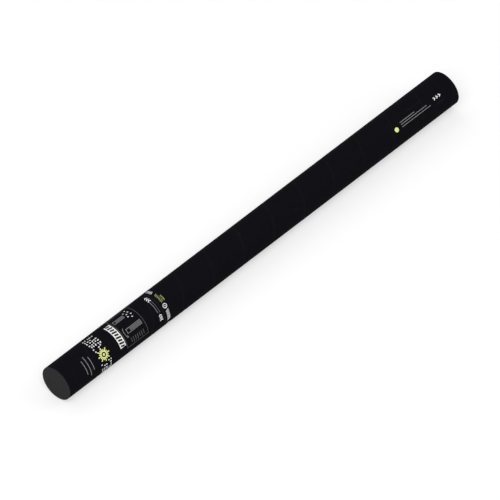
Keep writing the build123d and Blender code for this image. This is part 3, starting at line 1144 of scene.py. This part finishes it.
def slip_tree():
    """Geometry Nodes that lay two stacks of thin slips side by side, each slip a little out of line."""
    tree = Growth("slip_stacks", {
        "Slips": "Int",
        "Slip Size": "Vector",
        "Slip Pitch": "Float",
        "Stack Spacing": "Float",
        "Play": "Vector",
        "Yaw": "Float",
        "Bow": "Float",
        "Middle": "Vector",
        "Seed": "Int",
        "Film": "Material",
    })
    given = tree.given
    lowest = (given["Slips"] - 1) * given["Slip Pitch"] * -0.5
    stack = tree.node("GeometryNodeMeshLine", {
        "Count": given["Slips"],
        "Start Location": tree.vector(0, 0, lowest),
        "Offset": tree.vector(0, 0, given["Slip Pitch"]),
    })
    pair = tree.node("GeometryNodeMeshLine", {
        "Count": 2,
        "Start Location": tree.vector(0, given["Stack Spacing"] * -0.5, 0),
        "Offset": tree.vector(0, given["Stack Spacing"], 0),
    })
    stacks = tree.node("GeometryNodeInstanceOnPoints", {"Points": pair, "Instance": stack})
    places = tree.node("GeometryNodeRealizeInstances", {"Geometry": stacks})
    counts = dict(zip(("Vertices X", "Vertices Y", "Vertices Z"), SLIP_POINTS))
    slip = tree.node("GeometryNodeMeshCube", {"Size": given["Slip Size"], **counts})
    share = tree.position()[0] / tree.parts(given["Slip Size"])[0] * 2
    bow = tree.vector(0, 0, (1 - share * share) * given["Bow"])
    bowed = tree.node("GeometryNodeSetPosition", {"Geometry": slip, "Offset": bow})
    yaw = tree.drawn("FLOAT", given["Yaw"] * -1, given["Yaw"], given["Seed"])
    slips = tree.node("GeometryNodeInstanceOnPoints", {
        "Points": places, "Instance": bowed, "Rotation": tree.vector(0, 0, yaw),
    })
    least = tree.node("ShaderNodeVectorMath", {0: given["Play"], "Scale": -1.0}, operation="SCALE")
    shift = tree.drawn("FLOAT_VECTOR", least, given["Play"], given["Seed"] + 1)
    moved = tree.node("GeometryNodeTranslateInstances", {
        "Instances": slips, "Translation": shift, "Local Space": False,
    })
    tone = tree.drawn("FLOAT", 0.0, 1.0, given["Seed"] + 2)
    toned = tree.node("GeometryNodeStoreNamedAttribute", {
        "Geometry": moved, "Name": "slip_tone", "Value": tone,
    }, data_type="FLOAT", domain="INSTANCE")
    placed = tree.node("GeometryNodeTransform", {"Geometry": toned, "Translation": given["Middle"]})
    return tree.done(placed, given["Film"])


def add_slips():
    """The slips of each bundle, as two stacks."""
    tree = slip_tree()
    for index, node in enumerate(BUNDLES):
        low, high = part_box(node)
        size = high - low
        width = (size.y - STACK_GAP) / 2
        mesh = grown(bpy.data.meshes.new("no_slips"), tree, {
            "Slips": SLIPS_IN_STACK,
            "Slip Size": (size.x - 2 * SLIP_END_PLAY, width - 2 * SLIP_SIDE_PLAY, SLIP_THICKNESS),
            "Slip Pitch": (size.z - SLIP_THICKNESS) / SLIPS_IN_STACK,
            "Stack Spacing": width + STACK_GAP,
            "Play": (SLIP_END_PLAY, SLIP_SIDE_PLAY * SLIP_SIDE_PLAY_SHARE, 0),
            "Yaw": SLIP_YAW,
            "Bow": SLIP_BOW,
            "Middle": (low + high) / 2,
            "Seed": SLIP_SEED + SLIP_DRAWS * index,
            "Film": FINISHES["silver_slips"],
        })
        add_piece(node.replace("confetti_bundle", "slips"), mesh, "shot", "silver_slips", [node])


def band_ring(along, half_width, half_height, grow):
    """A rounded rectangle across the bore, as points, with its sides moved out by grow."""
    radius = BAND_ROUND + grow
    points = []
    for quarter, (side, top) in enumerate(((1, 1), (-1, 1), (-1, -1), (1, -1))):
        for step in range(ROUND_STEPS + 1):
            angle = (quarter + step / ROUND_STEPS) * TURN / 4
            across = side * (half_width - BAND_ROUND) + radius * math.cos(angle)
            above = top * (half_height - BAND_ROUND) + radius * math.sin(angle)
            points.append(Vector((along, across, AXIS_HEIGHT + above)))
    return points


def add_bands():
    """A paper band round each bundle, with its free end glued down on top."""
    low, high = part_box("paper_bands")
    half_width = (high.y - low.y) / 2 - BAND_THICKNESS
    half_height = (high.z - low.z) / 2 - BAND_THICKNESS
    middles = sorted((box[0].x + box[1].x) / 2 for box in map(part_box, BUNDLES))
    half_band = low.x - middles[0]
    top = AXIS_HEIGHT + half_height + BAND_THICKNESS
    free_end = [
        (-BAND_LAP / 2, top - BAND_LAP_SINK),
        (-BAND_LAP / 2, top + BAND_LAP_RISE / 4),
        (0, top + BAND_LAP_RISE / 2),
        (BAND_LAP / 2, top + BAND_LAP_RISE),
        (BAND_LAP / 2, top - BAND_LAP_SINK),
    ]
    shape = bmesh.new()
    for middle in middles:
        edges = (middle + half_band, middle - half_band)
        rings = [band_ring(along, half_width, half_height, BAND_THICKNESS) for along in edges]
        rings += [band_ring(along, half_width, half_height, 0) for along in reversed(edges)]
        lap = [[Vector((along, *point)) for point in free_end] for along in edges]
        for sheet in (joined_rings(rings), joined_rings(lap, capped=True)):
            shape.from_mesh(sheet)
            bpy.data.meshes.remove(sheet)
    add_piece("bands", finished_mesh(shape), "shot", "band_paper", ["paper_bands"])


def felt_tree():
    """Geometry Nodes that let short bent fibres stand out of a felt surface."""
    tree = Growth("felt_fibres", {
        "Density": "Float",
        "Fibre Length": "Float",
        "Fibre Thickness": "Float",
        "Seed": "Int",
        "Felt": "Material",
    })
    given = tree.given
    felt = given["Geometry"]
    length = given["Fibre Length"]
    roots, stance = tree.node("GeometryNodeDistributePointsOnFaces", {
        "Mesh": felt, "Density": given["Density"], "Seed": given["Seed"],
    }, ("Points", "Rotation"))
    bends = {}
    for name, (ahead, out) in FIBRE_SHARES.items():
        bends[name] = tree.vector(length * ahead, 0.0, length * out)
    line = tree.node("GeometryNodeCurveQuadraticBezier", {"Resolution": FIBRE_STEPS, **bends})
    profile = tree.node("GeometryNodeCurvePrimitiveCircle", {
        "Resolution": FIBRE_SIDES, "Radius": given["Fibre Thickness"],
    })
    fibre = tree.node("GeometryNodeCurveToMesh", {
        "Curve": line, "Profile Curve": profile, "Fill Caps": True,
    })
    fibres = tree.node("GeometryNodeInstanceOnPoints", {
        "Points": roots, "Instance": fibre, "Rotation": stance,
    })
    spin = tree.vector(0.0, 0.0, tree.drawn("FLOAT", 0.0, TURN, FIBRE_SPIN_SEED))
    turned = tree.node("GeometryNodeRotateInstances", {"Instances": fibres, "Rotation": spin})
    both = tree.node("GeometryNodeJoinGeometry", {"Geometry": [felt, turned]})
    return tree.done(both, given["Felt"])


def add_felt():
    """The felt wad: a disc with soft edges, with fibres on its faces."""
    low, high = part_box("felt_wad")
    radius = (high.z - low.z) / 2 - FELT_FUZZ
    disc = lathe([
        (low.x + FELT_FUZZ, 0, 0),
        (low.x + FELT_FUZZ, radius, FELT_ROUND),
        (high.x - FELT_FUZZ, radius, FELT_ROUND),
        (high.x - FELT_FUZZ, 0, 0),
    ], FELT_ROUND_STEPS)
    mesh = grown(disc, felt_tree(), {
        "Density": FIBRES_PER_SQUARE_METRE,
        "Fibre Length": FIBRE_LENGTH,
        "Fibre Thickness": FIBRE_THICKNESS,
        "Seed": FIBRE_SEED,
        "Felt": FINISHES["grey_felt"],
    })
    add_piece("felt_disc", mesh, "shot", "grey_felt", ["felt_wad"])


def add_gas_check():
    """The cupped plastic wad, with a thin lip on its skirt and a moulded groove round its face."""
    low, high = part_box("gas_check")
    radius = (high.z - low.z) / 2
    floor = high.x - CHECK_FLOOR
    groove = high.x - GROOVE_DEPTH
    cup = lathe([
        (high.x, 0, 0),
        (high.x, GROOVE_INNER, 0),
        (groove, GROOVE_INNER + GROOVE_SLOPE, 0),
        (groove, GROOVE_OUTER - GROOVE_SLOPE, 0),
        (high.x, GROOVE_OUTER, 0),
        (high.x, radius - CHECK_STEP, CHECK_FACE_ROUND),
        (low.x + CHECK_SKIRT, radius - CHECK_STEP, 0),
        (low.x, radius, CHECK_LIP_ROUND),
        (low.x, radius - CHECK_LIP, CHECK_LIP_ROUND),
        (floor, radius - CHECK_WALL, CHECK_FLOOR_ROUND),
        (floor, 0, 0),
    ])
    add_piece("gas_cup", cup, "shot", "check_plastic", ["gas_check"])


def add_muzzle_disc():
    """The black board disc in the muzzle: a pressed rim round a shallow dished middle."""
    low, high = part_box("muzzle_disc")
    radius = (high.z - low.z) / 2
    disc = lathe([
        (low.x, 0, 0),
        (low.x, radius, DISC_BACK_ROUND),
        (high.x, radius, DISC_RIM_ROUND),
        (high.x, radius - DISC_RIM, DISC_RIM_ROUND),
        (high.x - DISH_DEPTH, radius - DISC_RIM - DISH_SLOPE, DISH_ROUND),
        (high.x - DISH_MIDDLE_DEPTH, 0, 0),
    ])
    add_piece("muzzle_board", disc, "shot", "disc_board", ["muzzle_disc"])


# Firing mechanism


def add_spring():
    """The safety spring, as a smooth-shaded copy of the packed coil."""
    low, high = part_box("safety_spring")
    travel = next(joint["range_m"][1] for joint in frame["joints"] if joint["name"] == "bottle_advance")
    shape = bmesh.new()
    shape.from_mesh(frame["nodes"]["safety_spring"].data)
    piece = add_piece("spring_coil", finished_mesh(shape), "barrel", "bright_steel", ["safety_spring"])
    keep = 1 - travel / (high.x - low.x)
    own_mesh(piece)


def add_seal():
    """The foil cap on the bottle: a crimped rim, and scored petals, each a piece of its own."""
    low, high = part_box("bottle_seal")
    radius = (high.z - low.z) / 2
    under = high.x - FOIL_THICKNESS
    rim = lathe([
        (under, MOUTH_RADIUS, 0),
        (high.x, MOUTH_RADIUS, 0),
        (high.x, radius, FOIL_ROUND),
        (low.x, radius, FOIL_ROUND),
        (low.x, radius - FOIL_THICKNESS, FOIL_ROUND),
        (under, radius - FOIL_THICKNESS, 0),
    ])
    add_piece("seal_rim", rim, "carriage", "seal_foil", ["bottle_seal"])
    petal_turn = TURN / PETALS
    edge = MOUTH_RADIUS - 2 * SCORE_WIDTH
    for index in range(PETALS):
        middle = petal_turn * index
        turns = [middle + petal_turn * (step / PETAL_STEPS - 0.5) for step in range(PETAL_STEPS + 1)]
        aside = on_tube(0, 1, middle) - on_tube(0, 0, middle)
        rings = []
        for along in (under, high.x):
            points = [on_tube(along, 0, middle)] + [on_tube(along, edge, turn) for turn in turns]
            rings.append([point + aside * SCORE_WIDTH for point in points])
        mesh = joined_rings(rings, capped=True)
        petal = add_piece(f"seal_petal_{index + 1}", mesh, "carriage", "seal_foil")
        anchor = on_tube(high.x, MOUTH_RADIUS, middle)
        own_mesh(petal)


def finish_cad_nodes():
    """Give every piece that is shown as packed the finish of its slot."""
    slots = {part["node"]: part["material_slot"] for part in frame["record"]["subparts"]}
    for name, node in frame["nodes"].items():
        node.data.materials.clear()
        node.data.materials.append(FINISHES[slots[name]])


# Studio


def background_rays(graph):
    """1 for rays that show the background itself: straight from the camera, mirrored or through glass."""
    kinds = ("Is Camera Ray", "Is Glossy Ray", "Is Transmission Ray")
    return largest(*graph.node("ShaderNodeLightPath", {}, kinds))


def add_world():
    """Even light from all sides, which shows as plain white."""
    world = bpy.data.worlds.new("studio")
    world.use_nodes = True
    bpy.context.scene.world = world
    graph = Graph(world.node_tree)
    background = world.node_tree.nodes["Background"]
    graph.feed(background.inputs["Color"], shade(1))
    strength = background_rays(graph) * (1 - WORLD_LIGHT) + WORLD_LIGHT
    graph.feed(background.inputs["Strength"], strength)


def floor_paint():
    """A white floor: part of what the camera sees is its own white, so that only the shadow darkens it."""
    material = bpy.data.materials.new("studio_floor")
    material.use_nodes = True
    nodes = material.node_tree.nodes
    nodes.remove(nodes["Principled BSDF"])
    graph = Graph(material.node_tree)
    white = graph.node("ShaderNodeEmission", {"Color": shade(1), "Strength": 1.0})
    paint = graph.node("ShaderNodeBsdfDiffuse", {"Color": shade(FLOOR_PAINT)})
    share = background_rays(graph) * FLOOR_OWN_WHITE
    mix = graph.node("ShaderNodeMixShader", {0: share, 1: paint, 2: white})
    graph.feed(nodes["Material Output"].inputs["Surface"], mix)
    return material


def add_floor():
    """A wide flat floor under the tube."""
    corners = [(x * FLOOR_HALF, y * FLOOR_HALF, 0) for x, y in ((-1, -1), (1, -1), (1, 1), (-1, 1))]
    mesh = bpy.data.meshes.new("floor")
    mesh.from_pydata(corners, [], [range(len(corners))])
    mesh.materials.append(floor_paint())
    floor = bpy.data.objects.new("floor", mesh)
    bpy.context.scene.collection.objects.link(floor)


def add_lamp(name, place, size, power):
    """A soft square lamp that faces the middle of the tube."""
    lamp = bpy.data.lights.new(name, "AREA")
    lamp.size = size
    lamp.energy = power
    holder = bpy.data.objects.new(name, lamp)
    holder.location = place
    holder.rotation_euler = (-Vector(place)).to_track_quat("-Z", "Y").to_euler()
    bpy.context.scene.collection.objects.link(holder)


def add_camera():
    """A long lens far off, at the angle that the object is seen from."""
    flat = math.cos(CAMERA_ELEVATION)
    back = Vector((
        math.sin(CAMERA_AZIMUTH) * flat,
        -math.cos(CAMERA_AZIMUTH) * flat,
        math.sin(CAMERA_ELEVATION),
    ))
    right = Vector((math.cos(CAMERA_AZIMUTH), math.sin(CAMERA_AZIMUTH), 0))
    up = back.cross(right)
    aim = Vector(((BASE_X + MUZZLE_X) / 2, 0, AXIS_HEIGHT)) + right * AIM_RIGHT + up * AIM_UP
    lens = bpy.data.cameras.new("camera")
    lens.sensor_width = SENSOR_WIDTH
    lens.lens = SENSOR_WIDTH * CAMERA_DISTANCE / FRAME_WIDTH
    lens.clip_end = CAMERA_REACH
    camera = bpy.data.objects.new("camera", lens)
    camera.location = aim + back * CAMERA_DISTANCE
    camera.rotation_euler = (-back).to_track_quat("-Z", "Y").to_euler()
    bpy.context.scene.collection.objects.link(camera)
    bpy.context.scene.camera = camera


bpy.context.scene.view_settings.view_transform = "Standard"
add_camera()
add_world()
add_floor()
for lamp_name, lamp in LAMPS.items():
    add_lamp(lamp_name, *lamp)
finish_cad_nodes()
add_tubes()
add_print()
add_slips()
add_bands()
add_felt()
add_gas_check()
add_muzzle_disc()
add_spring()
add_seal()
